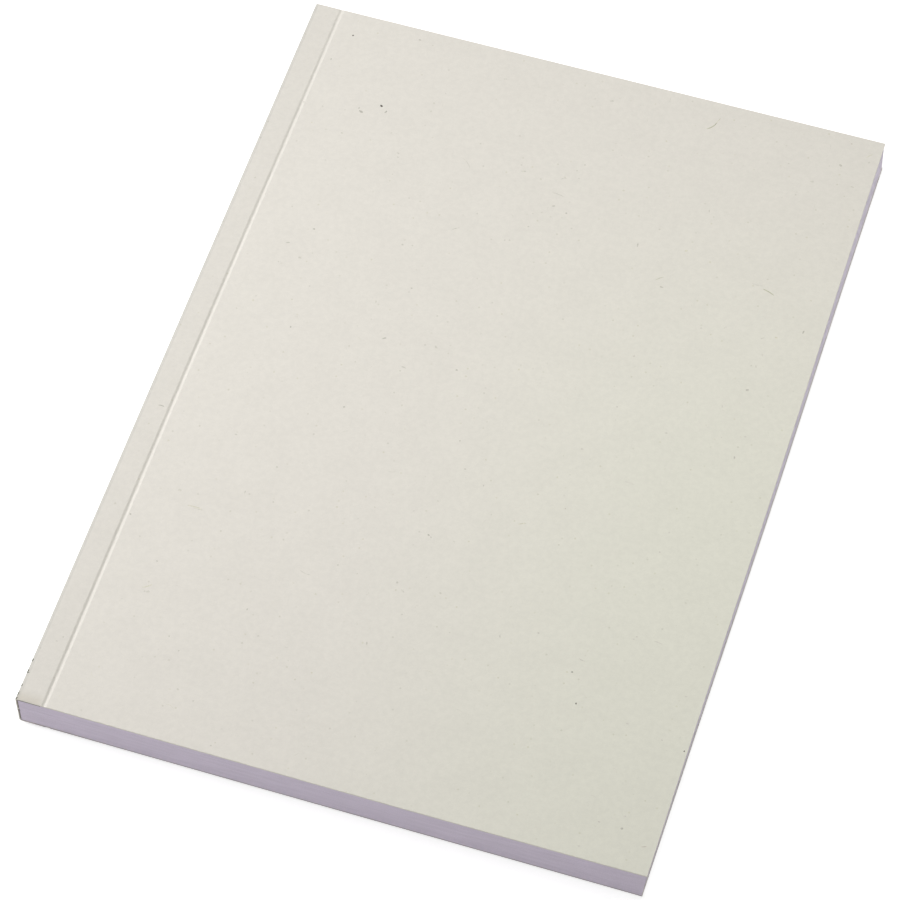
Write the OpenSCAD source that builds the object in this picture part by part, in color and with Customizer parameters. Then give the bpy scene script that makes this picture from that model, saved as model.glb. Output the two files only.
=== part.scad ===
// Softcover notebook, perfect bound, lying closed on its back cover.
// X runs across the book with the spine at low X, Y runs up the page to the head,
// Z is up. The origin is the middle of the underside. All sizes are in millimetres.

/* [Book] */
// Width of the closed book, from the outside of the spine to the fore edge
book_w = 148; // [100:1:300]
// Height of the book, from the foot to the head
book_h = 210; // [140:1:420]
// Thickness of the stack of pages
pages_t = 9.1; // [4:0.1:40]

/* [Cover card] */
// Thickness of the card that the cover is folded from
card_t = 0.4; // [0.25:0.05:0.6]
// Inner radius of the two folds between the spine and the covers
fold_inner_r = 0.3; // [0.3:0.1:1]

/* [Hinge score] */
// Distance from the outside of the spine to the middle of the score
hinge_w = 6.8; // [4:0.1:14]
// Width of the score pressed into the card
score_w = 1.5; // [0.8:0.1:2]
// Depth of the score pressed into the card
score_d = 0.2; // [0.05:0.01:0.24]

/* [Glue] */
// Thickness of the glue between the backs of the pages and the spine
spine_glue_t = 0.3; // [0.2:0.1:1.5]
// Thickness of the side glue under each hinge strip
side_glue_t = 0.15; // [0.05:0.05:0.25]
// Distance that the side glue stops short of the score
side_glue_stop = 0.8; // [0.3:0.1:2]

/* [Hidden] */

card_colour = [0.89, 0.87, 0.83];
page_colour = [0.70, 0.67, 0.71];
glue_colour = [0.38, 0.35, 0.31];

// Thickness of the closed book: the pages, the side glue and the card on both sides
book_t = pages_t + 2 * side_glue_t + 2 * card_t;

// Places across the book
spine_x = -book_w / 2;
fore_x = book_w / 2;
score_x = spine_x + hinge_w;
glue_end_x = score_x - side_glue_stop;

// Outer radius of the folds, and the corner radius of the pages' glued back
fold_r = fold_inner_r + card_t;
back_corner_r = fold_inner_r - side_glue_t;

// Radius of the round tool that presses a score of this width and depth
score_r = (pow(score_w / 2, 2) + pow(score_d, 2)) / (2 * score_d);

// How far a cutting shape runs past what it cuts
over = 1;

$fn = 64;

// Extrudes an XZ section along Y, over the whole height of the book and past its ends
module along_height(past = 0) {
    translate([0, book_h / 2 + past, 0])
        rotate([90, 0, 0])
            linear_extrude(height = book_h + 2 * past) children();
}

// Bar whose two corners on the spine side are rounded, over the height of the book.
// It is inset from the outside of the spine and from both faces of the book.
module spine_bar(inset_x, inset_z, r, end_x, past = 0) {
    start_x = spine_x + inset_x;
    along_height(past) {
        translate([start_x + r, inset_z])
            square([end_x - start_x - r, book_t - 2 * inset_z]);
        translate([start_x, inset_z + r])
            square([2 * r, book_t - 2 * inset_z - 2 * r]);
        for (z = [inset_z + r, book_t - inset_z - r])
            translate([start_x + r, z]) circle(r);
    }
}

// Round groove that the scoring tool leaves in an outer face at height face_z.
// side is 1 on the upper face and -1 on the lower one.
module score(face_z, side) {
    along_height(over)
        translate([score_x, face_z + side * (score_r - score_d)]) circle(score_r);
}

// Flat panel of cover card from the score to the fore edge
module panel(low_z) {
    translate([score_x, -book_h / 2, low_z])
        cube([fore_x - score_x, book_h, card_t]);
}

module front_cover() {
    color(card_colour) difference() {
        panel(book_t - card_t);
        score(book_t, 1);
    }
}

module back_cover() {
    color(card_colour) difference() {
        panel(0);
        score(0, -1);
    }
}

// Spine of the cover with the two hinge strips that are glued to the pages
module spine_cover() {
    color(card_colour) difference() {
        spine_bar(0, 0, fold_r, score_x);
        spine_bar(card_t, card_t, fold_inner_r, score_x + over, over);
        score(book_t, 1);
        score(0, -1);
    }
}

// Trimmed stack of all the pages
module page_block() {
    color(page_colour)
        spine_bar(card_t + spine_glue_t, card_t + side_glue_t, back_corner_r, fore_x);
}

// Glue that holds the pages' backs to the spine and their sides to the hinge strips
module spine_glue() {
    color(glue_colour) difference() {
        spine_bar(card_t, card_t, fold_inner_r, glue_end_x);
        spine_bar(card_t + spine_glue_t, card_t + side_glue_t, back_corner_r,
                  glue_end_x + over, over);
    }
}

front_cover();
spine_cover();
back_cover();
page_block();
spine_glue();
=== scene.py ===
"""Looks of the softcover notebook: recycled card cover, trimmed pages, binding glue."""
import math
import random

import bpy
from mathutils import Matrix, Vector
from mathutils import noise as field


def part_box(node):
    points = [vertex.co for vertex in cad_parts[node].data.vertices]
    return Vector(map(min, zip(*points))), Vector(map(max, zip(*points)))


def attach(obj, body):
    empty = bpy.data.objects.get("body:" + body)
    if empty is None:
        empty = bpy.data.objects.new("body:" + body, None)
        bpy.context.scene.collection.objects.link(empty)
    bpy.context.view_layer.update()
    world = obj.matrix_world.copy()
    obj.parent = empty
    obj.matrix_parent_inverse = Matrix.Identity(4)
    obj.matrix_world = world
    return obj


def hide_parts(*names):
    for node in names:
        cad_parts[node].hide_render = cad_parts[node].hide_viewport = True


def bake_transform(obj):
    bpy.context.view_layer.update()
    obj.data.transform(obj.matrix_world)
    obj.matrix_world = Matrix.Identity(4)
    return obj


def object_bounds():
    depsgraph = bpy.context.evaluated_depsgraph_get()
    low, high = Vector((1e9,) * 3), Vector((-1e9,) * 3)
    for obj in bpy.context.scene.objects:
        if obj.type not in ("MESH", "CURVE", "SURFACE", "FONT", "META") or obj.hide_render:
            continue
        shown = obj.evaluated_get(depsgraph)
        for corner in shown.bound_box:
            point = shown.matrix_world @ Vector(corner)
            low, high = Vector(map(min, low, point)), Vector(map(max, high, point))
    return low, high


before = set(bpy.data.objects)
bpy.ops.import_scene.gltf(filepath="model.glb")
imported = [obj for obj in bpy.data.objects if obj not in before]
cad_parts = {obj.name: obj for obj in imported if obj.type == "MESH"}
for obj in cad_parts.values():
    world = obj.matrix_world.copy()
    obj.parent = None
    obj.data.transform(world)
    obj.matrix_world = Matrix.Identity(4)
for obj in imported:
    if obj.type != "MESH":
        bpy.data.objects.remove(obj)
cad_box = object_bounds()

MM = 0.001

# Sizes that come from the frame
SPINE_X, FOOT_Y, _ = cad_box[0]
FORE_X, HEAD_Y, TOP_Z = cad_box[1]
panel_low, panel_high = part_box("front_cover")
pages_low, pages_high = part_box("page_block")
glue_low, glue_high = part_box("spine_glue")
CARD_T = panel_high.z - panel_low.z
SCORE_X = panel_low.x
PAGES_BACK_X = pages_low.x
PAGES_T = pages_high.z - pages_low.z
SIDE_GLUE_T = pages_low.z - glue_low.z
GLUE_END_X = glue_high.x
MID_Z = TOP_Z / 2

# Sizes of the folded card that the frame's boxes don't give
FOLD_R = 0.7 * MM
FOLD_INNER_R = FOLD_R - CARD_T
SCORE_W = 1.5 * MM
SCORE_D = 0.2 * MM
SCORE_BOW = 0.11 * MM
SCORE_FADE = 0.25
CUT_CHAMFER = 0.05 * MM
COVER_REACH = 0.15 * MM
CARD_ROW_STEP = 3 * MM

# Two faces that meet more steeply than this, in degrees, have a sharp edge between them
SHARP_ANGLE = 30

# Places along the unrolled card, counted from the middle of the spine to the fore edge
SPINE_END_U = MID_Z - FOLD_R
FOLD_END_U = SPINE_END_U + math.pi / 2 * FOLD_R
FOLD_END_X = SPINE_X + FOLD_R
SCORE_U = FOLD_END_U + SCORE_X - FOLD_END_X
FORE_U = FOLD_END_U + FORE_X + COVER_REACH - FOLD_END_X
SEAM_U = (FOLD_END_U + SCORE_U) / 2
FOLD_BACK_LENGTH = 1.6 * MM

# The trimming knife leans and wanders: how far it moves the fore edge of the lowest leaf at
# both ends, how far the fore edge bows out halfway up and the cover's foot edge halfway across,
# and how far that foot edge slants in by the fore corner
TRIM_LEAN_FOOT = -0.75 * MM
TRIM_LEAN_HEAD = 0.15 * MM
FORE_BOW = 0.24 * MM
FOOT_BOW = 0.18 * MM
FOOT_SLANT = 0.12 * MM

# Powers that keep the knife's effects near the fore edge and the foot, and peak the fore bow
NEAR_FORE = 4
NEAR_FOOT = 8
BOW_PEAK = 4

# The leaves. Past the side glue the stack closes the gap under the cover over this length.
LEAVES = 91
LEAF_LIP_SHARE = 0.14
LEAF_GROOVE = 0.03 * MM
LEAF_JITTER = 0.012 * MM
LEAF_STEP_X = 3 * MM
LEAF_STEP_Y = 4 * MM
LEAF_BACK_STEP = 30 * MM
TRIM_INSET = 0.05 * MM
TRIM_WAVE = 0.03 * MM
TRIM_WAVE_LENGTH = 25 * MM
TRIM_WAVES = 6
TRIM_STREAK_LENGTH = 60 * MM
TRIM_STREAKS = 30
SETTLE_LENGTH = 12 * MM
BACK_REACH = 0.15 * MM
COVER_CLEARANCE = 0.01 * MM

# The camera of the photograph, which is 900 pixels square
PHOTO_SIZE = 900
CAMERA_AZIMUTH = 18.556
CAMERA_ELEVATION = 57.421
CAMERA_ROLL = -0.924
CAMERA_DISTANCE = 911.8 * MM
CAMERA_AIM = Vector((-0.78 * MM, -12.40 * MM, TOP_Z))
CAMERA_LENS = 155.79
SENSOR_WIDTH = 36.0

# Brightness of the studio's white surroundings, which light the book from all sides
AMBIENT = 0.2


def srgb(red, green, blue):
    """A colour given as it shows on a screen, 0 to 255, in the linear values of a shader."""
    def linear(value):
        share = value / 255
        return share / 12.92 if share <= 0.04045 else ((share + 0.055) / 1.055) ** 2.4

    return (linear(red), linear(green), linear(blue), 1.0)


def smooth(value):
    """0 to 1 along an S curve, held at both ends."""
    value = min(1.0, max(0.0, value))
    return value * value * (3 - 2 * value)


def spread(start, end, step):
    """Evenly spaced values from start to end, both kept, about step apart."""
    count = max(1, round(abs(end - start) / step))
    return [start + (end - start) * i / count for i in range(count + 1)]


def new_object(name, data):
    """An object of the scene with that mesh, camera or lamp."""
    made = bpy.data.objects.new(name, data)
    bpy.context.scene.collection.objects.link(made)
    return made


# Camera

def make_camera():
    azimuth, elevation = math.radians(CAMERA_AZIMUTH), math.radians(CAMERA_ELEVATION)
    back = Vector((
        math.sin(azimuth) * math.cos(elevation),
        -math.cos(azimuth) * math.cos(elevation),
        math.sin(elevation),
    ))
    data = bpy.data.cameras.new("camera")
    data.lens = CAMERA_LENS
    data.sensor_width = SENSOR_WIDTH
    data.clip_start = 0.01
    data.clip_end = 20
    camera = new_object("camera", data)
    turn = (-back).to_track_quat("-Z", "Y").to_matrix().to_4x4()
    roll = Matrix.Rotation(math.radians(CAMERA_ROLL), 4, "Z")
    camera.matrix_world = Matrix.Translation(CAMERA_AIM + back * CAMERA_DISTANCE) @ turn @ roll
    bpy.context.scene.camera = camera
    return camera


def on_front_cover(pixel_x, pixel_y):
    """The point of the front cover's outer face that a pixel of the photograph shows."""
    pixel = SENSOR_WIDTH / PHOTO_SIZE
    ray = Vector((
        (pixel_x - PHOTO_SIZE / 2) * pixel,
        (PHOTO_SIZE / 2 - pixel_y) * pixel,
        -CAMERA_LENS,
    ))
    ray = camera.matrix_world.to_3x3() @ ray
    start = camera.matrix_world.translation
    return start + ray * ((TOP_Z - start.z) / ray.z)


camera = make_camera()


# The card as an unrolled sheet: u runs across it from the middle of the spine, above 0 to
# the front cover and below 0 to the back cover, y runs to the head, w is out of the card

def score_depth(x, y):
    """How deep the groove is there. Its line bows a little, and it is shallower at the head."""
    up = (y - FOOT_Y) / (HEAD_Y - FOOT_Y)
    across = (x - SCORE_X - SCORE_BOW * math.cos(2 * math.pi * up)) / (SCORE_W / 2)
    if abs(across) >= 1:
        return 0.0
    deepest = SCORE_D * (1 - SCORE_FADE * smooth(2 * up - 1))
    return deepest * (0.5 + 0.5 * math.cos(math.pi * across))


def trimmed(x, y, z):
    """Where the leaning and wandering knife puts a point of a book with true edges."""
    up = (y - FOOT_Y) / (HEAD_Y - FOOT_Y)
    across = (x - SPINE_X) / (FORE_X - SPINE_X)
    lean = TRIM_LEAN_FOOT + (TRIM_LEAN_HEAD - TRIM_LEAN_FOOT) * up
    fore = lean * (1 - z / TOP_Z) + FORE_BOW * math.sin(math.pi * up) ** BOW_PEAK
    foot = (FOOT_BOW * math.sin(math.pi * across) - FOOT_SLANT * across ** 2) * z / TOP_Z
    return Vector((x + fore * across ** NEAR_FORE, y - foot * (1 - up) ** NEAR_FOOT, z))


def card_point(u, y, w):
    """The place of a point of the card, w out of its outer face."""
    side = 1 if u >= 0 else -1
    u = abs(u)
    if u <= SPINE_END_U:
        x, z = SPINE_X - w, MID_Z + u
    elif u <= FOLD_END_U:
        turn = (u - SPINE_END_U) / FOLD_R
        radius = FOLD_R + w
        x = FOLD_END_X - radius * math.cos(turn)
        z = TOP_Z - FOLD_R + radius * math.sin(turn)
    else:
        x = FOLD_END_X + u - FOLD_END_U
        z = TOP_Z + w - score_depth(x, y) * smooth(1 + w / CARD_T)
    if side < 0:
        z = TOP_Z - z
    return trimmed(x, y, z)


def card_u(x):
    """The place along the unrolled card of a point of the front cover's outer face."""
    return FOLD_END_U + x - FOLD_END_X


# Meshes

def mesh_piece(name, points, faces, kinds, sheet=None):
    """A mesh object with one material index per face, sharp only where faces meet steeply."""
    mesh = bpy.data.meshes.new(name)
    mesh.from_pydata(points, [], faces)
    mesh.polygons.foreach_set("material_index", kinds)
    if sheet:
        places = mesh.attributes.new("sheet", "FLOAT_VECTOR", "POINT")
        places.data.foreach_set("vector", [value for point in sheet for value in point])
    mesh.update()
    mesh.shade_smooth()
    mesh.set_sharp_from_angle(angle=math.radians(SHARP_ANGLE))
    return new_object(name, mesh)


def skin_faces(count, size, base=0):
    """Quads between that many loops of size points each, which follow from the point base."""
    return [
        (first + i, first + (i + 1) % size, first + size + (i + 1) % size, first + size + i)
        for first in range(base, base + (count - 1) * size, size)
        for i in range(size)
    ]


def card_columns(start, end):
    """Places across the unrolled card: close together in the folds and the scores."""
    dense = SCORE_W / 2 + SCORE_BOW
    # Where each stretch stops, and about how long its steps are
    stretches = (
        (SPINE_END_U, 1 * MM),
        (FOLD_END_U, 0.1 * MM),
        (SEAM_U, 0.9 * MM),
        (SCORE_U - dense, 0.6 * MM),
        (SCORE_U + dense, 0.07 * MM),
        (SCORE_U + FOLD_BACK_LENGTH, 0.1 * MM),
        (FORE_U, 3 * MM),
    )
    half, reached = [0], 0
    for stop, step in stretches:
        half += spread(reached, stop, step)[1:]
        reached = stop
    both = [-u for u in reversed(half[1:])] + half
    slack = 0.001 * MM
    return [u for u in both if start - slack <= u <= end + slack]


def card_solid(name, start, end, cut_start, cut_end):
    """A closed piece of the card from u start to u end. A cut end gets a fine chamfer."""
    columns = card_columns(start, end)
    rows = spread(FOOT_Y + CUT_CHAMFER, HEAD_Y - CUT_CHAMFER, CARD_ROW_STEP)
    inner_w = -CARD_T
    shrunk = columns[:]
    if cut_start:
        shrunk[0] += CUT_CHAMFER
    if cut_end:
        shrunk[-1] -= CUT_CHAMFER

    def loop(y, inset):
        points = [(u, y, -inset) for u in shrunk]
        if cut_end:
            points += [(end - inset, y, -CUT_CHAMFER), (end - inset, y, inner_w + CUT_CHAMFER)]
        points += [(u, y, inner_w + inset) for u in reversed(shrunk)]
        if cut_start:
            points += [(start + inset, y, inner_w + CUT_CHAMFER), (start + inset, y, -CUT_CHAMFER)]
        return points

    loops = [loop(FOOT_Y, CUT_CHAMFER)] + [loop(y, 0) for y in rows] + [loop(HEAD_Y, CUT_CHAMFER)]
    size = len(loops[0])
    n = len(columns)
    inner_first = n + (2 if cut_end else 0)
    sheet = [point for points in loops for point in points]

    def is_cut(i):
        on_inner = inner_first <= i < inner_first + n - 1
        return not (i < n - 1 or on_inner)

    faces = skin_faces(len(loops), size)
    kinds = []
    for row in range(len(loops) - 1):
        at_end = row in (0, len(loops) - 2)
        kinds += [1 if at_end or is_cut(i) else 0 for i in range(size)]
    for row, flip in ((0, True), (len(loops) - 1, False)):
        base = row * size
        inner_last = base + inner_first + n - 1
        caps = [(base + i, base + i + 1, inner_last - i - 1, inner_last - i) for i in range(n - 1)]
        if cut_end:
            caps.append(tuple(base + i for i in range(n - 1, n + 3)))
        if cut_start:
            caps.append((inner_last, base + size - 2, base + size - 1, base))
        faces += [face[::-1] if flip else face for face in caps]
        kinds += [1] * len(caps)
    return mesh_piece(name, [card_point(*p) for p in sheet], faces, kinds, sheet)


# Page block

def stack_half(x):
    """Half the thickness of the stack of leaves at x. It opens out past the side glue."""
    settled = smooth((x - GLUE_END_X) / SETTLE_LENGTH)
    return PAGES_T / 2 + (SIDE_GLUE_T - COVER_CLEARANCE) * settled


def page_block():
    """All the leaves as one skin: a lip for each leaf's cut edge, a fine groove between two."""
    draw = random.Random(41)
    back_x = PAGES_BACK_X - BACK_REACH
    xs = spread(back_x, FORE_X, LEAF_STEP_X)
    ys = spread(FOOT_Y, HEAD_Y, LEAF_STEP_Y)[1:-1]
    back_ys = spread(HEAD_Y, FOOT_Y, LEAF_BACK_STEP)[1:-1]
    rings = []
    for leaf in range(LEAVES):
        low, high = 2 * leaf / LEAVES - 1, 2 * (leaf + 1) / LEAVES - 1
        lip = (high - low) * LEAF_LIP_SHARE
        jitter = draw.uniform(-LEAF_JITTER, LEAF_JITTER)
        rings.append((low + (lip if leaf else 0), jitter))
        rings.append((high - (lip if leaf < LEAVES - 1 else 0), jitter))
        if leaf < LEAVES - 1:
            rings.append((high, LEAF_GROOVE))

    def inset(along, share, extra, side):
        """How far the cut edge lies inside the book's size: the knife leaves slow waves."""
        wave = field.noise(Vector((along / TRIM_WAVE_LENGTH, share * TRIM_WAVES, side)))
        place = Vector((along / TRIM_STREAK_LENGTH, share * TRIM_STREAKS, side + 7))
        return TRIM_INSET + TRIM_WAVE * (wave + 0.5 * field.noise(place)) + extra

    points = []
    for share, extra in rings:
        outline = [(x, FOOT_Y + inset(x, share, extra, 1)) for x in xs]
        outline[-1] = (FORE_X - TRIM_INSET - extra, outline[-1][1])
        outline += [(FORE_X - inset(y, share, extra, 2), y) for y in ys]
        head = [(x, HEAD_Y - inset(x, share, extra, 3)) for x in reversed(xs)]
        head[0] = (FORE_X - TRIM_INSET - extra, head[0][1])
        outline += head + [(back_x, y) for y in back_ys]
        points += [trimmed(x, y, MID_Z + share * stack_half(x)) for x, y in outline]
    size = len(xs) * 2 + len(ys) + len(back_ys)
    faces = skin_faces(len(rings), size)
    kinds = [0] * len(faces)
    n = len(xs)
    head_last = 2 * n + len(ys) - 1
    for base, flip in ((0, True), ((len(rings) - 1) * size, False)):
        for i in range(n - 1):
            face = [i, i + 1]
            if i == n - 2:
                face += range(n, n + len(ys))
            face += [head_last - i - 1, head_last - i]
            if i == 0:
                face += range(head_last + 1, size)
            face = [base + k for k in face]
            faces.append(tuple(reversed(face)) if flip else tuple(face))
            kinds.append(1)
    return mesh_piece("page_leaves", points, faces, kinds)


# Binding glue. Its cut end stands proud, is smeared outwards and wavers in width. At the foot
# it has a thin break above a lump, and dirt down to near its lower end.

GLUE_PROUD = 0.04 * MM
GLUE_SMEAR = 0.15 * MM
GLUE_SMEAR_REACH = 0.3 * MM
GLUE_SHOWN_SHARE = 0.75
GLUE_WAVER = 0.4
GLUE_WAVER_LENGTH = 0.8 * MM
GLUE_BREAK_THINS = 0.8
GLUE_LUMP_ADDS = 1.1
GLUE_BREAK_LOW = 5.4 * MM
GLUE_BREAK_HIGH = 6.2 * MM
GLUE_LUMP_LOW = 4.5 * MM
GLUE_LUMP_HIGH = 5.3 * MM
GLUE_EASE = 0.2 * MM
GLUE_DIRT_END = 1 * MM
GLUE_END_LENGTH = 4 * MM
GLUE_STEP_X = 0.5 * MM
GLUE_STEP_Y = 12 * MM
GLUE_STEP_Z = 0.22 * MM
GLUE_CORNER_STEPS = 5

# The end of the glue from outside inwards: how far out of the trimmed edge, how much smeared
GLUE_END = ((GLUE_PROUD, 1), (0, 1), (-0.15 * MM, 0.7), (-0.5 * MM, 0))


def glue_path(inset, radius, back_x):
    """The points of a U round the pages' backs, from the front strip to the back strip."""
    high = TOP_Z - inset
    centre_x, centre_z = back_x + radius, high - radius
    steps = range(1, GLUE_CORNER_STEPS + 1)
    arc = [math.radians(90 + 90 * i / GLUE_CORNER_STEPS) for i in steps]
    upper = [(x, high) for x in spread(GLUE_END_X, centre_x, GLUE_STEP_X)]
    upper += [(centre_x + radius * math.cos(a), centre_z + radius * math.sin(a)) for a in arc]
    down = [(back_x, z) for z in spread(centre_z, TOP_Z - centre_z, GLUE_STEP_Z)[1:-1]]
    lower = [(x, TOP_Z - z) for x, z in reversed(upper)]
    return upper + down + lower


def glue_width_share(z, y):
    """How wide the cut end of the glue is at that height, against its usual thickness."""
    def between(low, high):
        return smooth((z - low) / GLUE_EASE) * smooth((high - z) / GLUE_EASE)

    at_foot = y < 0
    waver = field.noise(Vector((z / GLUE_WAVER_LENGTH, 3 if at_foot else 8, 0.5)))
    share = GLUE_SHOWN_SHARE * (1 + GLUE_WAVER * waver)
    if at_foot:
        share *= 1 - GLUE_BREAK_THINS * between(GLUE_BREAK_LOW, GLUE_BREAK_HIGH)
        share *= 1 + GLUE_LUMP_ADDS * between(GLUE_LUMP_LOW, GLUE_LUMP_HIGH)
    return share


def smeared_place(point, y, smeared, sign):
    """A place on the glue, moved by how much it is smeared. The outer side's sign is -1."""
    x, z = point
    on_spine = smooth((PAGES_BACK_X + GLUE_SMEAR_REACH - x) / GLUE_SMEAR_REACH)
    width = glue_width_share(z, y)
    middle = (SPINE_X + CARD_T + PAGES_BACK_X) / 2 - GLUE_SMEAR * smeared
    target = middle + sign * (PAGES_BACK_X - SPINE_X - CARD_T) / 2 * width
    return x + (target - x) * on_spine * smeared, y, z


def binding_glue():
    """The glue round the backs of the pages. Its cut ends are smeared over the trimmed edges."""
    outer = glue_path(CARD_T, FOLD_INNER_R, SPINE_X + CARD_T)
    inner = glue_path(CARD_T + SIDE_GLUE_T, FOLD_INNER_R - SIDE_GLUE_T, PAGES_BACK_X)
    inner += [inner[-1]] * (len(outer) - len(inner))
    n = len(outer)
    rings = [(FOOT_Y - out, smeared) for out, smeared in GLUE_END]
    inside_ys = spread(FOOT_Y + GLUE_END_LENGTH, HEAD_Y - GLUE_END_LENGTH, GLUE_STEP_Y)
    rings += [(y, 0) for y in inside_ys]
    rings += [(HEAD_Y + out, smeared) for out, smeared in reversed(GLUE_END)]
    points = []
    for y, smeared in rings:
        points += [smeared_place(p, y, smeared, -1) for p in outer]
        points += [smeared_place(p, y, smeared, 1) for p in reversed(inner)]
    size = 2 * n
    faces = [face[::-1] for face in skin_faces(len(rings), size)]
    for base, flip in ((0, False), ((len(rings) - 1) * size, True)):
        for i in range(n - 1):
            face = (base + i, base + i + 1, base + size - 2 - i, base + size - 1 - i)
            faces.append(face[::-1] if flip else face)
    return mesh_piece("binding_glue_layer", points, faces, [0] * len(faces))


# Flecks in the card: fibres and grains that lie half sunk in its outer face

INKS = {
    "black": srgb(84, 80, 73),
    "dark": srgb(194, 190, 181),
    "grey": srgb(205, 201, 192),
    "faint": srgb(215, 211, 202),
    "pale": srgb(218, 214, 205),
    "olive": srgb(196, 194, 172),
    "yellow": srgb(220, 216, 200),
    "brown": srgb(210, 201, 191),
    "scuff": srgb(82, 81, 65),
}
INK_NAMES = list(INKS)

# Fibres that the photograph shows: the pixels of the two ends, ink, width in millimetres and
# bend in degrees
SEEN_FIBRES = {
    "olive_hair_at_head": ((706.6, 128.9), (717.2, 122.3), "olive", 0.33, -24),
    "olive_hair_at_head_tip": ((716, 123.6), (721, 118.2), "yellow", 0.22, 8),
    "olive_hair_at_fore": ((762.7, 288.9), (774, 295.6), "olive", 0.32, 10),
    "faint_hair_at_fore": ((752, 283.5), (763, 286), "pale", 0.2, -12),
    "yellow_hair_middle": ((655, 280.2), (663.6, 277), "olive", 0.17, 10),
    "dark_hair_on_strip": ((158, 405), (164.4, 406.8), "dark", 0.32, 20),
    "yellow_hair_left": ((187.5, 505.2), (202, 509.4), "yellow", 0.32, 10),
    "faint_hair_left": ((193, 507.6), (204, 510.4), "pale", 0.22, -6),
    "yellow_hair_low_left": ((142, 587.2), (152.4, 584.2), "yellow", 0.34, -14),
    "olive_hair_right": ((624, 481.4), (634, 485), "pale", 0.2, 12),
    "olive_hair_by_corner": ((866.6, 157.6), (873, 154.6), "yellow", 0.26, 14),
    "brown_hair_by_foot": ((641.2, 847.2), (646.8, 847), "brown", 0.26, 0),
    "yellow_hair_centre": ((518, 524.2), (526, 523.2), "yellow", 0.34, 6),
    "faint_hair_low": ((300, 570), (311, 575), "faint", 0.2, -18),
    "faint_hair_high": ((463, 158), (470, 168), "pale", 0.2, 14),
    "dark_hair_centre": ((401.5, 366.3), (406, 368.3), "grey", 0.34, 0),
    "dark_hair_right_low": ((579, 658.3), (585, 661.3), "faint", 0.36, -20),
    "soft_hair_at_fore": ((760, 339), (764, 337.5), "faint", 0.36, 0),
    "soft_hair_high": ((452, 229.5), (460, 227.8), "faint", 0.28, 10),
    "faint_arc_high": ((561, 179.5), (567, 178.5), "faint", 0.28, 40),
    "faint_hair_beside": ((552, 192.5), (564, 197), "faint", 0.24, 12),
    "faint_hair_centre_low": ((401.3, 589.5), (404, 592.5), "pale", 0.36, 0),
    "faint_hair_right_low": ((654, 641), (663, 645), "pale", 0.22, 10),
}

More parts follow.
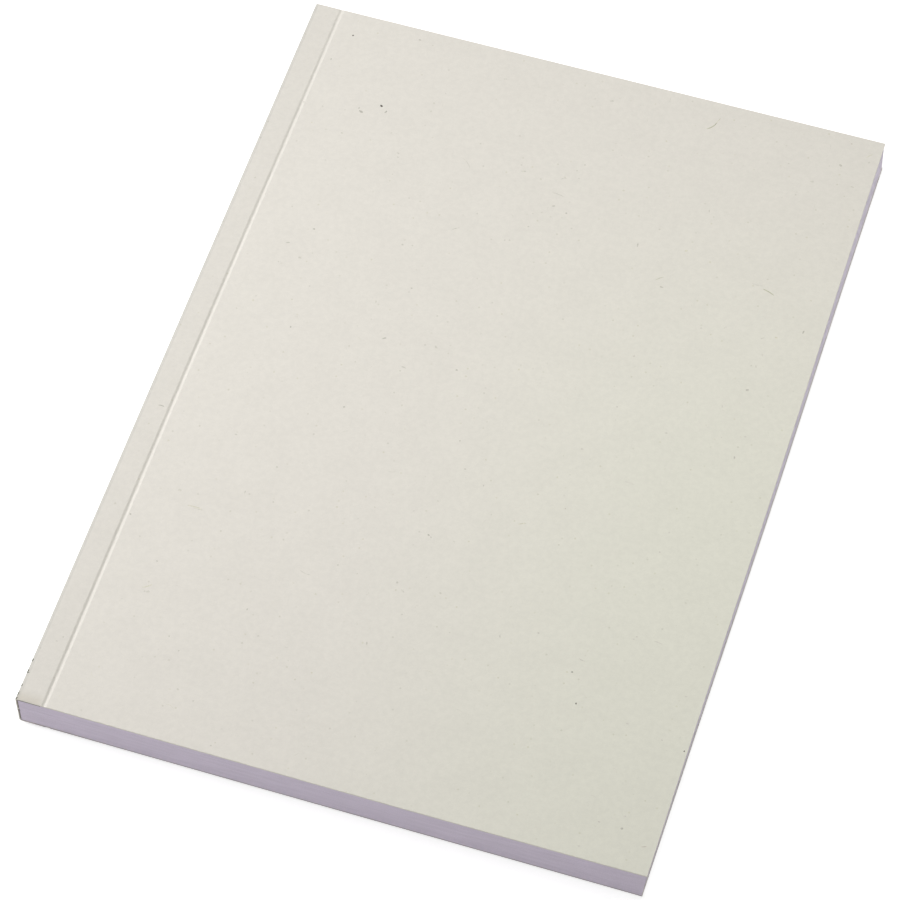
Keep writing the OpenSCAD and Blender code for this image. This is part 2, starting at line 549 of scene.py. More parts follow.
# Grains that the photograph shows: pixel, ink, length and width in millimetres, and turn in
# degrees from the way across the card
SEEN_GRAINS = {
    "black_grain": ((381.5, 106), "black", 1, 0.66, -35),
    "grey_streak_below": ((385.8, 111.9), "dark", 1.1, 0.5, 75),
    "grey_grain_beside": ((361, 111.6), "dark", 1.35, 0.72, -20),
    "grey_grain_beside_tail": ((359.2, 108), "grey", 0.7, 0.45, 70),
    "dark_dot_at_head": ((353, 35.4), "black", 0.53, 0.45, 20),
    "grey_dot_at_head": ((420, 40), "grey", 0.85, 0.42, 5),
    "dot_by_score": ((331, 59), "grey", 0.6, 0.5, 60),
    "dot_on_score_edge": ((303.9, 101.7), "grey", 0.45, 0.4, 90),
    "dot_right_of_it": ((342, 133), "pale", 0.85, 0.55, 10),
    "dot_further_right": ((391.4, 133), "pale", 0.5, 0.45, 0),
    "pair_high": ((398, 153.2), "pale", 0.9, 0.45, -5),
    "pair_low": ((397.8, 157.2), "pale", 0.6, 0.45, 0),
    "dot_left_middle": ((314, 229), "grey", 0.7, 0.56, 0),
    "dot_by_corner": ((840.4, 165.4), "grey", 1.1, 0.66, -40),
    "dot_by_corner_low": ((812, 181.6), "pale", 1.15, 0.75, 10),
    "dot_by_corner_right": ((852, 187), "pale", 1.2, 0.45, 5),
    "dot_by_head": ((788.6, 163.7), "pale", 0.6, 0.5, 0),
    "short_dark_bar": ((637.6, 245), "grey", 1.3, 0.38, 96),
    "yellow_blot": ((686.2, 250.8), "yellow", 0.9, 0.55, 30),
    "blot_under_hair": ((661.3, 287), "grey", 1.05, 0.5, -6),
    "bar_at_fore": ((803.1, 331.9), "dark", 1.15, 0.42, 88),
    "dot_in_fore_third": ((701, 328), "faint", 0.66, 0.54, 0),
    "yellow_dot_at_fore": ((776, 337.7), "yellow", 0.8, 0.6, 0),
    "dot_left_of_centre": ((236, 434.5), "faint", 0.75, 0.42, 5),
    "dot_above_foot_left": ((277, 467), "faint", 0.6, 0.55, 50),
    "dot_left_low": ((180, 490), "pale", 0.9, 0.7, 0),
    "bar_left_low": ((245, 492), "faint", 1, 0.4, 92),
    "blot_low_left": ((148, 591.5), "pale", 0.9, 0.7, 20),
    "dot_low_left": ((157, 561), "faint", 0.6, 0.6, 0),
    "dark_dot_low_left": ((247.2, 609.2), "grey", 0.62, 0.38, 85),
    "dark_dot_centre": ((428.6, 535), "dark", 0.66, 0.48, -30),
    "dark_dot_centre_tail": ((431, 537.2), "faint", 0.6, 0.35, -50),
    "dot_centre_high": ((460, 441), "grey", 0.62, 0.42, 88),
    "dot_centre_right": ((465, 469), "faint", 0.6, 0.5, 0),
    "dot_centre_low": ((438, 501), "pale", 0.55, 0.5, 0),
    "dot_centre_lower": ((454, 541.6), "pale", 0.6, 0.45, 0),
    "dark_dot_right": ((616.8, 406.8), "grey", 0.45, 0.42, 0),
    "brown_dot_low": ((440.7, 593.2), "faint", 0.7, 0.62, 0),
    "dark_dot_low": ((538.3, 632.8), "grey", 0.66, 0.42, 0),
    "dot_right_low": ((582, 449), "pale", 0.7, 0.5, 0),
    "dot_at_left_foot": ((169, 636), "faint", 0.6, 0.5, 0),
    "dot_on_strip_low": ((63, 637), "faint", 0.6, 0.42, 40),
    "dot_by_strip_low": ((155, 656.5), "pale", 0.7, 0.45, 10),
    "dot_by_foot_left": ((178, 689), "pale", 0.72, 0.52, 0),
    "dot_by_foot": ((211, 745), "faint", 0.6, 0.5, 0),
    "round_dot_by_foot": ((621.7, 828.8), "dark", 0.7, 0.66, 0),
    "dot_above_round_dot": ((624.7, 816.6), "pale", 0.6, 0.5, 0),
    "wide_blot_by_foot": ((599, 822), "pale", 0.75, 0.45, 0),
    "dot_by_foot_edge": ((579, 846), "pale", 0.8, 0.42, 10),
    "black_dot_low_right": ((576, 703.5), "black", 0.5, 0.38, 108),
    "black_bar_low_right": ((572, 672), "black", 0.55, 0.24, 18),
    "black_dot_low_fore": ((684.2, 751.4), "black", 0.42, 0.36, 90),
    "dark_bar_left": ((384.4, 338.2), "dark", 1.15, 0.44, 29),
    "dark_dot_on_score": ((290.7, 326.8), "dark", 0.6, 0.46, 100),
    "dark_dot_on_strip": ((130.2, 514), "grey", 0.6, 0.52, 0),
    "dark_bar_by_score": ((288, 242.5), "grey", 1.1, 0.45, 18),
    "dark_bar_at_fore": ((733.8, 457.3), "grey", 0.95, 0.45, 108),
    "dark_blot_at_fore": ((746.7, 390), "grey", 0.9, 0.65, 18),
    "dark_dot_high": ((402.5, 244.6), "grey", 0.62, 0.52, 0),
    "dark_dot_below_high": ((411.5, 288.2), "grey", 0.62, 0.52, 0),
    "dark_bar_high": ((553.5, 206), "grey", 1.1, 0.45, 18),
    "dark_dot_by_bar": ((566.3, 213.2), "grey", 0.6, 0.52, 0),
    "dark_bar_low": ((366.8, 643.2), "grey", 0.95, 0.45, 108),
    "dark_dot_low_centre": ((397.2, 582.3), "grey", 0.62, 0.52, 0),
    "dark_dot_left": ((344, 407), "grey", 0.62, 0.56, 0),
    "dark_dot_middle": ((456.6, 370), "grey", 0.7, 0.56, 18),
    "soft_dot_at_right_head": ((585, 165), "faint", 0.62, 0.46, 0),
    "soft_dot_beside_it": ((577, 170.8), "faint", 0.58, 0.46, 0),
    "soft_dot_right": ((668.9, 532.5), "faint", 0.62, 0.46, 0),
    "soft_dot_centre": ((400.2, 370.7), "faint", 0.58, 0.46, 0),
    "soft_bar_at_head": ((505.5, 79), "faint", 0.9, 0.38, 18),
    "soft_bar_by_head": ((585.3, 85.6), "faint", 0.8, 0.38, 108),
    "soft_dot_low_left": ((338, 565), "faint", 0.58, 0.46, 0),
    "soft_dot_high": ((528.2, 226.6), "faint", 0.58, 0.46, 0),
    "soft_pair_left": ((504.8, 240.2), "faint", 0.55, 0.46, 90),
    "soft_pair_right": ((509.5, 240.2), "faint", 0.55, 0.46, 90),
    "soft_bar_at_fore": ((721.8, 406), "faint", 0.8, 0.38, 108),
    "soft_bar_low_fore": ((685.5, 696.5), "pale", 0.9, 0.4, 18),
    "soft_blot_left": ((436.2, 347.3), "pale", 1.3, 0.55, 138),
    "soft_bar_left": ((376, 301.5), "faint", 0.9, 0.38, 108),
    "soft_bar_right_head": ((709.2, 211), "faint", 0.9, 0.38, 100),
    "soft_bar_low": ((500, 636), "faint", 0.95, 0.36, 108),
    "soft_dot_by_foot": ((627.5, 723.5), "pale", 0.66, 0.6, 0),
    "wide_blot_by_score": ((300, 257.5), "pale", 1, 0.72, 18),
    "pale_dot_by_score": ((312.5, 253.1), "pale", 0.52, 0.44, 0),
    "pale_dot_under_score": ((296.5, 316.6), "pale", 0.58, 0.44, 0),
    "pale_dot_at_fore": ((744.6, 436.6), "pale", 0.66, 0.44, 0),
    "pale_dot_high": ((541.8, 212.4), "pale", 0.58, 0.44, 0),
    "pale_bar_high": ((523.8, 171.2), "pale", 1.4, 0.5, 18),
    "pale_dot_by_arc": ((579, 178.5), "pale", 0.58, 0.44, 0),
    "pale_dot_left_high": ((412.4, 245.5), "pale", 0.52, 0.44, 0),
    "pale_dot_below_it": ((421.8, 265.8), "pale", 0.52, 0.44, 0),
    "pale_dot_right_low": ((636.8, 636.8), "pale", 0.58, 0.44, 0),
    "pale_dot_centre_low": ((401.8, 614.3), "pale", 0.58, 0.44, 0),
    "pale_bar_by_head": ((612, 101), "pale", 1.3, 0.42, 18),
    "pale_dot_low_left": ((357, 573.5), "pale", 0.58, 0.44, 0),
    "pale_dot_right": ((659.5, 552.1), "pale", 0.58, 0.44, 0),
    "pale_blot_right": ((666, 433), "pale", 0.85, 0.45, 18),
    "pale_bar_at_fore": ((762, 355), "pale", 0.85, 0.45, 108),
    "pale_bar_below_it": ((755.5, 366.5), "pale", 0.85, 0.45, 108),
    "pale_dot_by_foot": ((662, 740), "pale", 0.58, 0.44, 0),
}

# Rubbed spots on the fold near the foot: pixel on the fold, length and width in millimetres
SEEN_SCUFFS = {
    "upper_scuff": ((33, 659.5), 0.95, 0.66),
    "middle_scuff": ((28, 670.1), 0.75, 0.66),
    "middle_scuff_tail": ((28.9, 672.4), 0.28, 1.25),
    "lower_scuff": ((22.2, 684.6), 0.8, 0.55),
    "thin_scuff": ((18.6, 693.2), 1.5, 0.5),
    "corner_scuff": ((16.6, 697.6), 0.62, 0.85),
}

# How far round the fold the rubbed spots lie, as a share of its quarter turn, and the turn in
# degrees that lays them along it
SCUFF_TURN = 0.48
ALONG_FOLD = 90

# The loops of a fleck from its sunk rim inwards: share of its size, share of the fleck height.
# One that lies on the fold needs more of them, and more corners, to follow the round of it.
FLECK_HEIGHT = 0.012 * MM
FLAT_LOOPS = ((1.0, -0.6), (0.85, 0.5), (0.5, 0.9))
FLAT_CORNERS = 9
FOLD_LOOPS = ((1.0, -0.6), (0.92, 0.6), (0.75, 1.1), (0.55, 1.3), (0.35, 1.3), (0.12, 1.3))
FOLD_CORNERS = 18

# The section of a fibre: share of half its width, share of the fleck height
FIBRE_SECTION = ((1, -0.6), (0.55, 0.8), (-0.55, 0.8), (-1, -0.6))
FIBRE_STEP = 0.35 * MM

# A fibre's width at its tips, and how far a grain's rim lies out, as shares of the full size
FIBRE_TIP = 0.3
GRAIN_RIM = (0.78, 1.1)

# Flecks on each cover. The front one has the seen ones and a scatter of faint ones up to that.
COVER_FIBRES = 62
COVER_GRAINS = 150
SPINE_FIBRES = 8
SPINE_GRAINS = 20
FLECK_MARGIN = 1.5 * MM

# The scattered flecks: inks as often as they come, then lengths, widths and bends of the fibres
# and widths and longness of the grains, in millimetres and degrees
SCATTER_INKS = ["pale"] * 12 + ["faint"] * 5 + ["yellow"] * 4 + ["brown", "grey"]
FIBRE_LENGTHS = (0.9, 2.4)
FIBRE_WIDTHS = (0.05, 0.10)
FIBRE_BENDS = (-50, 50)
GRAIN_WIDTH_LEAST = 0.16
GRAIN_WIDTH_MORE = 0.28
GRAIN_LONGNESS = (1.0, 1.7)


class FleckMesh:
    """Gathers closed flecks of one piece of the card, with one material for each ink."""

    def __init__(self, name):
        self.name = name
        self.sheet, self.faces, self.kinds = [], [], []

    def add(self, loops, ink):
        """One closed fleck from loops of sheet points, each of the same size."""
        size = len(loops[0])
        base = len(self.sheet)
        faces = skin_faces(len(loops), size, base)
        faces.append(tuple(base + i for i in reversed(range(size))))
        last = base + (len(loops) - 1) * size
        faces.append(tuple(last + i for i in range(size)))
        self.sheet += [point for loop in loops for point in loop]
        self.faces += faces
        self.kinds += [INK_NAMES.index(ink)] * len(faces)

    def fibre(self, start, end, width, bend, ink):
        """A flattened hair between two sheet places, bent sideways by that many degrees."""
        start, end = Vector(start), Vector(end)
        along = end - start
        side = Vector((-along.y, along.x)).normalized()
        bulge = along.length / 2 * math.tan(math.radians(bend) / 2)
        steps = max(4, round(along.length / FIBRE_STEP))
        loops = []
        for k in range(steps + 1):
            t = k / steps
            middle = start + along * t + side * bulge * 4 * t * (1 - t)
            half = width / 2 * (FIBRE_TIP + (1 - FIBRE_TIP) * math.sin(math.pi * t) ** 0.5)
            loop = []
            for reach, lift in FIBRE_SECTION:
                place = middle + side * half * reach
                loop.append((place.x, place.y, FLECK_HEIGHT * lift))
            loops.append(loop)
        self.add(loops, ink)

    def grain(self, place, length, width, turn, ink, draw, shape=FLAT_LOOPS, corners=FLAT_CORNERS):
        """A flat uneven grain that lies round a sheet place."""
        turn = math.radians(turn)
        rim = [draw.uniform(*GRAIN_RIM) for _ in range(corners)]
        loops = []
        for size, lift in shape:
            loop = []
            for i, reach in enumerate(rim):
                angle = 2 * math.pi * i / len(rim)
                a = length / 2 * reach * size * math.cos(angle)
                b = width / 2 * reach * size * math.sin(angle)
                loop.append((
                    place[0] + a * math.cos(turn) - b * math.sin(turn),
                    place[1] + a * math.sin(turn) + b * math.cos(turn),
                    FLECK_HEIGHT * lift,
                ))
            loops.append(loop)
        self.add(loops, ink)

    def piece(self):
        points = [card_point(*place) for place in self.sheet]
        made = mesh_piece(self.name, points, self.faces, self.kinds, self.sheet)
        for name in INK_NAMES:
            made.data.materials.append(ink_materials[name])
        return made


def sheet_place(pixel):
    """The sheet place of the front cover that a pixel of the photograph shows."""
    point = on_front_cover(*pixel)
    return card_u(point.x), point.y


def scatter(mesh, draw, start, end, fibres, grains):
    """Seeded small fibres and grains over the sheet between two places across it."""
    def place():
        while True:
            u = draw.uniform(start + FLECK_MARGIN, end - FLECK_MARGIN)
            y = draw.uniform(FOOT_Y + FLECK_MARGIN, HEAD_Y - FLECK_MARGIN)
            if abs(abs(u) - SCORE_U) > SCORE_W:
                return u, y

    for _ in range(fibres):
        middle = Vector(place())
        length = draw.uniform(*FIBRE_LENGTHS) * MM
        turn = draw.uniform(0, math.pi)
        half = Vector((math.cos(turn), math.sin(turn))) * length / 2
        width = draw.uniform(*FIBRE_WIDTHS) * MM
        bend = draw.uniform(*FIBRE_BENDS)
        mesh.fibre(middle - half, middle + half, width, bend, draw.choice(SCATTER_INKS))
    for _ in range(grains):
        width = (GRAIN_WIDTH_LEAST + GRAIN_WIDTH_MORE * draw.random() ** 3) * MM
        length = width * draw.uniform(*GRAIN_LONGNESS)
        at = place()
        turn = draw.uniform(0, 180)
        mesh.grain(at, length, width, turn, draw.choice(SCATTER_INKS), draw)


# Materials

CARD_COLOUR = srgb(230, 225.4, 218.7)
CARD_CUT_COLOUR = srgb(232, 228, 219)
# Painted shade for the back cover's cut edge, which lies low by the floor
BACK_CUT_SHADE_COLOUR = srgb(186, 178, 184)
PAGE_EDGE_COLOUR = srgb(226.5, 217, 233)
PAGE_FACE_COLOUR = srgb(232, 230, 235)
GLUE_COLOUR = srgb(98, 90, 80)
CLEAN_GLUE_COLOUR = srgb(186, 178, 176)

# The values between which a noise counts as going from dark to light
NOISE_DARK = 0.3
NOISE_LIGHT = 0.7

# The places of a mix node's colour sockets among its inputs and outputs
MIX_FACTOR, MIX_FIRST, MIX_SECOND, MIX_RESULT = 0, 6, 7, 2

# The web of fibres in the card: the size of one and the directions, in degrees
FELT_FIBRE_SIZE = (1.1 * MM, 0.16 * MM, 0.4 * MM)
FELT_TURNS = (15, 72, 134)

# Dots of other fibres in the card: one cell's size, the share of cells that have one, its radius,
# its soft rim as a share of that, how it wavers, how strongly it shows and its two inks
DOT_CELL = 2.9 * MM
DOT_SHARE = 0.24
DOT_RADIUS = 0.28 * MM
DOT_RIM = 0.35
DOT_WAVER = 0.25 * MM
DOT_WAVER_SIZE = 0.35 * MM
DOT_STRENGTHS = (0.2, 0.65)
DOT_INKS = (srgb(206, 202, 193), srgb(214, 209, 191))

# The card's slow drift of hue: its tint, and where on the sheet it starts and is full.
# Up the sheet it starts at the head.
DRIFT_TINT = (0.983, 1.011, 0.968, 1.0)
DRIFT_START_U = 56 * MM
DRIFT_FULL_U = 144 * MM
DRIFT_FULL_Y = -21 * MM

# The glued strip's painted shade, as if it sloped away from the light, its darker patch by the
# score at the foot, and the painted shade along the folds that keeps their round from looking lit
STRIP_SHADE = 0.96
STRIP_EASE = 0.2 * MM
SCORE_FOOT_TINT = srgb(242, 240, 236)
SCORE_FOOT_REACH = 3.5 * MM
FOLD_SHADE_TINT = srgb(229, 231, 231)
FOLD_SHADE_FULL = 0.2 * MM
FOLD_SHADE_END = 0.9 * MM

# Sizes of the plies in the card's cut edge, and of the tones and grain in the paper
PLY_SIZE = (0.5 * MM, 0.5 * MM, 0.05 * MM)
LEAF_TONE_SIZE = (14 * MM, 14 * MM, 0.1 * MM)
LEAF_BAND_SIZE = (8 * MM, 8 * MM, 1.1 * MM)
PAPER_GRAIN = 0.25 * MM


class NodeTree:
    """The nodes of a material or the world."""

    def __init__(self, owner):
        owner.use_nodes = True
        self.owner = owner
        self.nodes = owner.node_tree.nodes
        self.links = owner.node_tree.links

    def feed(self, node, inputs):
        """Sets inputs of a node, each to a plain value or to what another node gives out."""
        for key, value in inputs.items():
            if isinstance(value, bpy.types.NodeSocket):
                self.links.new(value, node.inputs[key])
            else:
                node.inputs[key].default_value = value

    def add(self, kind, inputs=None, **settings):
        """A new node with those inputs and settings. It returns its outputs."""
        node = self.nodes.new("ShaderNode" + kind)
        for name, value in settings.items():
            setattr(node, name, value)
        self.feed(node, inputs or {})
        return node.outputs

    def sheet_place(self):
        """The place on the unrolled card."""
        return self.add("Attribute", attribute_name="sheet")["Vector"]

    def object_place(self):
        return self.add("TexCoord")["Object"]

    def axes(self, vector):
        return self.add("SeparateXYZ", {"Vector": vector})

    def noise(self, vector, size, detail, roughness=0.5, turn=0):
        """Noise with features of that size, one or three lengths, turned by so many degrees."""
        scale = size if isinstance(size, tuple) else (size, size, size)
        inputs = {"Vector": vector, "Scale": scale, "Rotation": (0, 0, math.radians(turn))}
        place = self.add("Mapping", inputs, vector_type="TEXTURE")["Vector"]
        inputs = {"Vector": place, "Scale": 1.0, "Detail": detail, "Roughness": roughness}
        return self.add("TexNoise", inputs)["Fac"]

    def remap(self, value, from_low, from_high, to_low=0.0, to_high=1.0):
        """A value carried from one range to another along an S curve, held at both ends."""
        names = ("Value", "From Min", "From Max", "To Min", "To Max")
        inputs = dict(zip(names, (value, from_low, from_high, to_low, to_high)))
        return self.add("MapRange", inputs, interpolation_type="SMOOTHSTEP")["Result"]

    def maths(self, operation, *values):
        return self.add("Math", dict(enumerate(values)), operation=operation)["Value"]

    def mixed(self, blend_type, factor, first, second):
        """A mix of two colours, each a plain one or what another node gives out."""
        inputs = {MIX_FACTOR: factor, MIX_FIRST: first, MIX_SECOND: second}
        return self.add("Mix", inputs, data_type="RGBA", blend_type=blend_type)[MIX_RESULT]

    def toned(self, colour, noise, low, high):
        """A colour times a grey that goes from low to high as a noise goes from dark to light."""
        grey = self.remap(noise, NOISE_DARK, NOISE_LIGHT, low, high)
        return self.mixed("MULTIPLY", 1.0, colour, grey)

    def bump(self, height, distance, strength, below=None):
        inputs = {"Height": height, "Distance": distance, "Strength": strength}
        if below is not None:
            inputs["Normal"] = below
        return self.add("Bump", inputs)["Normal"]

    def surface(self, colour, roughness, specular, normal=None):
        """Gives the material its colour, roughness, gloss and bumps, and returns it."""
        inputs = {"Base Color": colour, "Roughness": roughness, "Specular IOR Level": specular}
        if normal is not None:
            inputs["Normal"] = normal
        self.feed(self.nodes["Principled BSDF"], inputs)
        return self.owner


def new_material(name):
    return NodeTree(bpy.data.materials.new(name))


def felted(tree, vector, colour):
    """Tones the card with a web of fine fibres that lie in three directions."""
    total = 0.0
    for turn in FELT_TURNS:
        layer = tree.noise(vector, FELT_FIBRE_SIZE, detail=1, turn=turn)
        total = tree.maths("ADD", total, layer)
    web = tree.maths("MULTIPLY", total, 1 / len(FELT_TURNS))
    return tree.toned(colour, web, low=0.976, high=1.021)


def speckled(tree, vector, colour):
    """Mixes dots of other fibres into the card: small, uneven and only in some cells."""
    waver = tree.add("TexNoise", {"Vector": vector, "Scale": 1 / DOT_WAVER_SIZE})["Color"]
    shift = {0: waver, 1: (DOT_WAVER, DOT_WAVER, 0), 2: vector}
    place = tree.add("VectorMath", shift, operation="MULTIPLY_ADD")["Vector"]
    inputs = {"Vector": place, "Scale": 1 / DOT_CELL}
    cells = tree.add("TexVoronoi", inputs, voronoi_dimensions="2D")
    parts = tree.add("SeparateColor", {"Color": cells["Color"]})
    chosen = tree.remap(parts["Red"], 1 - DOT_SHARE, 1 - DOT_SHARE * 0.5)
    reach = tree.maths("MULTIPLY", chosen, DOT_RADIUS / DOT_CELL)
    depth = tree.maths("SUBTRACT", reach, cells["Distance"])
    mask = tree.remap(depth, 0.0, DOT_RIM * DOT_RADIUS / DOT_CELL)
    strength = tree.remap(parts["Green"], 0.0, 1.0, *DOT_STRENGTHS)
    ink = tree.mixed("MIX", parts["Blue"], *DOT_INKS)
    return tree.mixed("MIX", tree.maths("MULTIPLY", mask, strength), colour, ink)


def drifted(tree, vector, colour):
    """Lets the hue drift, by about 1%, towards the corner between the foot and the fore edge."""
    axes = tree.axes(vector)
    across = tree.maths("ABSOLUTE", axes["X"])
    outwards = tree.remap(across, DRIFT_START_U, DRIFT_FULL_U)
    downwards = tree.remap(axes["Y"], DRIFT_FULL_Y, HEAD_Y, 1.0, 0.0)
    share = tree.maths("MULTIPLY", outwards, downwards)
    return tree.mixed("MULTIPLY", share, colour, DRIFT_TINT)


def darkened_strip_and_folds(tree, vector, colour):
    """Paints shade on the glued strip and along the folds, and darkens the strip by the score at
    the foot.
    """
    axes = tree.axes(vector)
    across = tree.maths("ABSOLUTE", axes["X"])
    # Painted shade: the glued strip a little darker, as if it sloped away from the light
    strip = tree.remap(across, SCORE_U - STRIP_EASE, SCORE_U + STRIP_EASE, STRIP_SHADE, 1.0)
    colour = tree.mixed("MULTIPLY", 1.0, colour, strip)
    # The strip darker by the score at the foot
    to_score = tree.remap(across, SCORE_U - SCORE_W, SCORE_U, 1.0, 0.0)
    near_foot = tree.remap(axes["Y"], FOOT_Y, FOOT_Y + SCORE_FOOT_REACH, 1.0, 0.0)
    darker_share = tree.maths("MULTIPLY", to_score, near_foot)
    colour = tree.mixed("MULTIPLY", darker_share, colour, SCORE_FOOT_TINT)
    # Painted shade along the folds, so that their round doesn't show lit
    off_fold = tree.maths("SUBTRACT", across, (SPINE_END_U + FOLD_END_U) / 2)
    off_fold = tree.maths("ABSOLUTE", off_fold)
    fold_shade = tree.remap(off_fold, FOLD_SHADE_FULL, FOLD_SHADE_END, 1.0, 0.0)
    return tree.mixed("MULTIPLY", fold_shade, colour, FOLD_SHADE_TINT)


def card_material():
    """Uncoated recycled card: cloudy, finely mottled, felted, with dots of other fibres."""
    tree = new_material("cover_card")
    vector = tree.sheet_place()
    cloud = tree.noise(vector, size=9 * MM, detail=2)
    mottle = tree.noise(vector, size=1.5 * MM, detail=2, roughness=0.6)
    grain = tree.noise(vector, size=0.3 * MM, detail=1)
    colour = tree.toned(CARD_COLOUR, cloud, low=0.991, high=1.008)
    colour = tree.toned(colour, mottle, low=0.982, high=1.016)
    colour = felted(tree, vector, colour)
    colour = speckled(tree, vector, colour)
    colour = drifted(tree, vector, colour)
    colour = darkened_strip_and_folds(tree, vector, colour)
    normal = tree.bump(mottle, distance=0.012 * MM, strength=0.4)
    normal = tree.bump(grain, distance=0.008 * MM, strength=0.5, below=normal)
    return tree.surface(colour, roughness=0.85, specular=0.25, normal=normal)


def cut_material():
    """The cut edge of the card, with fine lines for its plies. Painted shade greys it towards the
    back cover, which lies low by the floor.
    """
    tree = new_material("cover_card_cut")
    vector = tree.sheet_place()
    # Painted shade: the cut edge greys from the lower spine to the back cover
    low = tree.remap(tree.axes(vector)["X"], -SEAM_U, -SPINE_END_U, 1.0, 0.0)
    colour = tree.mixed("MIX", low, CARD_CUT_COLOUR, BACK_CUT_SHADE_COLOUR)
    plies = tree.noise(vector, PLY_SIZE, detail=3, roughness=0.6)
    colour = tree.toned(colour, plies, low=0.9, high=1.06)
    normal = tree.bump(plies, distance=0.02 * MM, strength=0.6)
    return tree.surface(colour, roughness=0.95, specular=0.2, normal=normal)


def page_edge_material():
    """The trimmed edges of the leaves: each one a little lighter or darker, in slow bands."""
    tree = new_material("page_edges")
    vector = tree.object_place()
    leaf = tree.noise(vector, LEAF_TONE_SIZE, detail=2)
    band = tree.noise(vector, LEAF_BAND_SIZE, detail=2)
    grain = tree.noise(vector, PAPER_GRAIN, detail=3, roughness=0.6)
    colour = tree.toned(PAGE_EDGE_COLOUR, leaf, low=0.972, high=1.028)
    colour = tree.toned(colour, band, low=0.975, high=1.025)
    colour = tree.toned(colour, grain, low=0.96, high=1.04)
    normal = tree.bump(grain, distance=0.01 * MM, strength=0.5)
    return tree.surface(colour, roughness=0.95, specular=0.15, normal=normal)


def page_face_material():
    """A blank leaf: smooth pale paper with a faint cloudy look."""
    tree = new_material("page_face")
    vector = tree.object_place()
    cloud = tree.noise(vector, size=3 * MM, detail=4, roughness=0.6)
    grain = tree.noise(vector, PAPER_GRAIN, detail=3, roughness=0.6)
    colour = tree.toned(PAGE_FACE_COLOUR, cloud, low=0.985, high=1.01)
    normal = tree.bump(grain, distance=0.006 * MM, strength=0.4)
    return tree.surface(colour, roughness=0.8, specular=0.3, normal=normal)


def glue_material():
    """Hot-melt glue: a little glossy and clouded, dirty above a clean break and a clean end."""
    tree = new_material("binding_glue")
    vector = tree.object_place()
    cloud = tree.noise(vector, size=0.8 * MM, detail=3)
    height = tree.axes(vector)["Z"]
    over_break = tree.remap(height, GLUE_BREAK_HIGH - GLUE_EASE, GLUE_BREAK_HIGH)
    under_break = tree.remap(height, GLUE_BREAK_LOW, GLUE_BREAK_LOW + GLUE_EASE, 1.0, 0.0)
    over_end = tree.remap(height, GLUE_DIRT_END, GLUE_DIRT_END + 2 * GLUE_EASE)
    darker_share = tree.maths("MULTIPLY", under_break, over_end)
    darker_share = tree.maths("MAXIMUM", darker_share, over_break)
    colour = tree.mixed("MIX", darker_share, CLEAN_GLUE_COLOUR, GLUE_COLOUR)
    colour = tree.toned(colour, cloud, low=0.75, high=1.2)
    normal = tree.bump(cloud, distance=0.03 * MM, strength=0.5)
    return tree.surface(colour, roughness=0.45, specular=0.5, normal=normal)


def ink_material(name, colour):
    """Dyed fibres in the card, each with its own uneven tone."""
    tree = new_material("fleck_" + name)
    tone = tree.noise(tree.sheet_place(), size=0.3 * MM, detail=2)
    colour = tree.toned(colour, tone, low=0.85, high=1.12)
    return tree.surface(colour, roughness=0.9, specular=0.2)


card = card_material()
card_cut = cut_material()
ink_materials = {name: ink_material(name, colour) for name, colour in INKS.items()}


# Cover

front_sheet = card_solid("front_cover_sheet", SEAM_U, FORE_U, False, True)
spine_sheet = card_solid("spine_cover_sheet", -SEAM_U, SEAM_U, False, False)
back_sheet = card_solid("back_cover_sheet", -FORE_U, -SEAM_U, True, False)
for piece, node in (
    (front_sheet, "front_cover"),
    (spine_sheet, "spine_cover"),
    (back_sheet, "back_cover"),
):
    piece.data.materials.append(card)
    piece.data.materials.append(card_cut)
    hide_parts(node)


def bend_with_front(piece):
    """Bakes the piece's place into its mesh."""
    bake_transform(piece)


def bend_with_back(piece):
    """Bakes the piece's place into its mesh, as for the front."""
    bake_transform(piece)


bend_with_front(front_sheet)
bend_with_back(back_sheet)
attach(spine_sheet, "book_block")


# Flecks of the cover

front_flecks = FleckMesh("front_cover_flecks")
spine_flecks = FleckMesh("spine_cover_flecks")
back_flecks = FleckMesh("back_cover_flecks")
draw = random.Random(7)
for start_pixel, end_pixel, ink, width, bend in SEEN_FIBRES.values():
    place, other = sheet_place(start_pixel), sheet_place(end_pixel)
    mesh = front_flecks if place[0] > SEAM_U else spine_flecks
    mesh.fibre(place, other, width * MM, bend, ink)
for pixel, ink, length, width, turn in SEEN_GRAINS.values():
    place = sheet_place(pixel)
    mesh = front_flecks if place[0] > SEAM_U else spine_flecks
    mesh.grain(place, length * MM, width * MM, turn, ink, draw)
for pixel, length, width in SEEN_SCUFFS.values():
    u = SPINE_END_U + SCUFF_TURN * (FOLD_END_U - SPINE_END_U)
    y = max(on_front_cover(*pixel).y, FOOT_Y + length * MM / 2)
    size = length * MM, width * MM
    spine_flecks.grain((u, y), *size, ALONG_FOLD, "scuff", draw, FOLD_LOOPS, FOLD_CORNERS)
more_fibres = COVER_FIBRES - len(SEEN_FIBRES)
more_grains = COVER_GRAINS - len(SEEN_GRAINS)
scatter(front_flecks, draw, SEAM_U, FORE_U, more_fibres, more_grains)
scatter(back_flecks, draw, -FORE_U, -SEAM_U, COVER_FIBRES, COVER_GRAINS)
scatter(spine_flecks, draw, -SPINE_END_U, SPINE_END_U, SPINE_FIBRES, SPINE_GRAINS)
bend_with_front(front_flecks.piece())
bend_with_back(back_flecks.piece())
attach(spine_flecks.piece(), "book_block")


# Pages and glue

leaves = page_block()
leaves.data.materials.append(page_edge_material())
leaves.data.materials.append(page_face_material())
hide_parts("page_block")
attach(leaves, "book_block")

glue = binding_glue()
glue.data.materials.append(glue_material())
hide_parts("spine_glue")
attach(glue, "book_block")


# Floor, backdrop and light

FLOOR_Z = -0.55 * MM
FLOOR_HALF = 4.0
FLOOR_TONE = 0.55
FLOOR_GLOW = 0.75


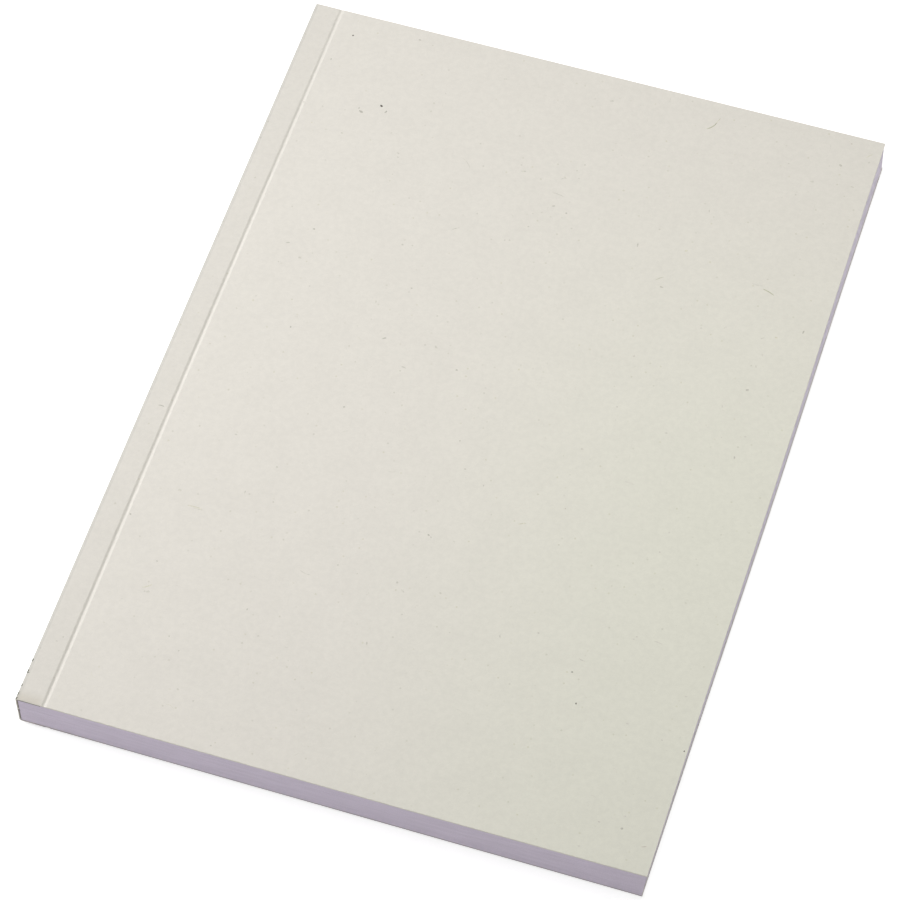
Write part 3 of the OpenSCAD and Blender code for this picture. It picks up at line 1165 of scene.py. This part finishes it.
def seen_by_eye(tree):
    """1 on rays that come from the camera, by a reflection or through glass as well, else 0."""
    rays = tree.add("LightPath")
    reflected = tree.maths("MAXIMUM", rays["Is Camera Ray"], rays["Is Glossy Ray"])
    return tree.maths("MAXIMUM", reflected, rays["Is Transmission Ray"])


def make_floor():
    """A pale floor just under the book, low enough for the opened back cover to clear it."""
    mesh = bpy.data.meshes.new("floor")
    signs = ((-1, -1), (1, -1), (1, 1), (-1, 1))
    corners = [(x * FLOOR_HALF, y * FLOOR_HALF, FLOOR_Z) for x, y in signs]
    mesh.from_pydata(corners, [], [(0, 1, 2, 3)])
    tree = new_material("pale_floor")
    tone = (FLOOR_TONE, FLOOR_TONE, FLOOR_TONE, 1)
    mesh.materials.append(tree.surface(tone, roughness=1.0, specular=0.0))
    glow = tree.maths("MULTIPLY", seen_by_eye(tree), FLOOR_GLOW)
    inputs = {"Emission Color": (1, 1, 1, 1), "Emission Strength": glow}
    tree.feed(tree.nodes["Principled BSDF"], inputs)
    new_object("floor", mesh)


def make_world():
    """White to the camera, in reflections and through glass, else a soft light all round."""
    world = bpy.data.worlds.new("studio")
    bpy.context.scene.world = world
    tree = NodeTree(world)
    tree.nodes.clear()
    ambient = tree.add("Background", {"Color": (AMBIENT, AMBIENT, AMBIENT, 1)})["Background"]
    white = tree.add("Background", {"Color": (1, 1, 1, 1)})["Background"]
    mix = tree.add("MixShader", {0: seen_by_eye(tree), 1: ambient, 2: white})["Shader"]
    tree.add("OutputWorld", {"Surface": mix})


def area_light(name, place, aim, size, power, tint):
    """A softbox: its place and aim, its size across and up in metres, its power in watts."""
    data = bpy.data.lights.new(name, "AREA")
    data.shape = "RECTANGLE"
    data.size, data.size_y = size
    data.energy = power
    data.color = tint
    light = new_object(name, data)
    light.location = place
    light.rotation_mode = "QUATERNION"
    light.rotation_quaternion = (Vector(aim) - Vector(place)).to_track_quat("-Z", "Y")


# Softboxes: place, aim, size, power and tint. The strips light the trimmed edges from low down.
BASE_AIM = (0, 0, 0)
EDGE_AIM = (0, 0, 0.005)
POOL_AIM = (0.091, 0.054, 0)
STRIP_SIZE = (0.3, 0.04)
SOFTBOXES = {
    "key": ((-0.522, 0.01, 0.35), BASE_AIM, (0.3, 0.3), 2.99, (1, 1, 1)),
    "pool": ((0.091, 0.054, 0.362), POOL_AIM, (0.15, 0.15), 0.426, (0.985, 1, 0.92)),
    "fill": ((0.25, -0.9, 0.35), BASE_AIM, (0.6, 0.6), 1.45, (1, 1, 0.96)),
    "foot_strip": ((-0.15, -0.4, 0.03), EDGE_AIM, STRIP_SIZE, 0.18, (1, 1, 1)),
    "head_strip": ((0.1, 0.4, 0.03), EDGE_AIM, STRIP_SIZE, 0.25, (1, 1, 1)),
    "fore_strip": ((0.45, 0.08, 0.03), EDGE_AIM, STRIP_SIZE, 0.46, (0.93, 1, 0.9)),
}

make_floor()
make_world()
for name, softbox in SOFTBOXES.items():
    area_light(name, *softbox)
bpy.context.scene.view_settings.view_transform = "Standard"
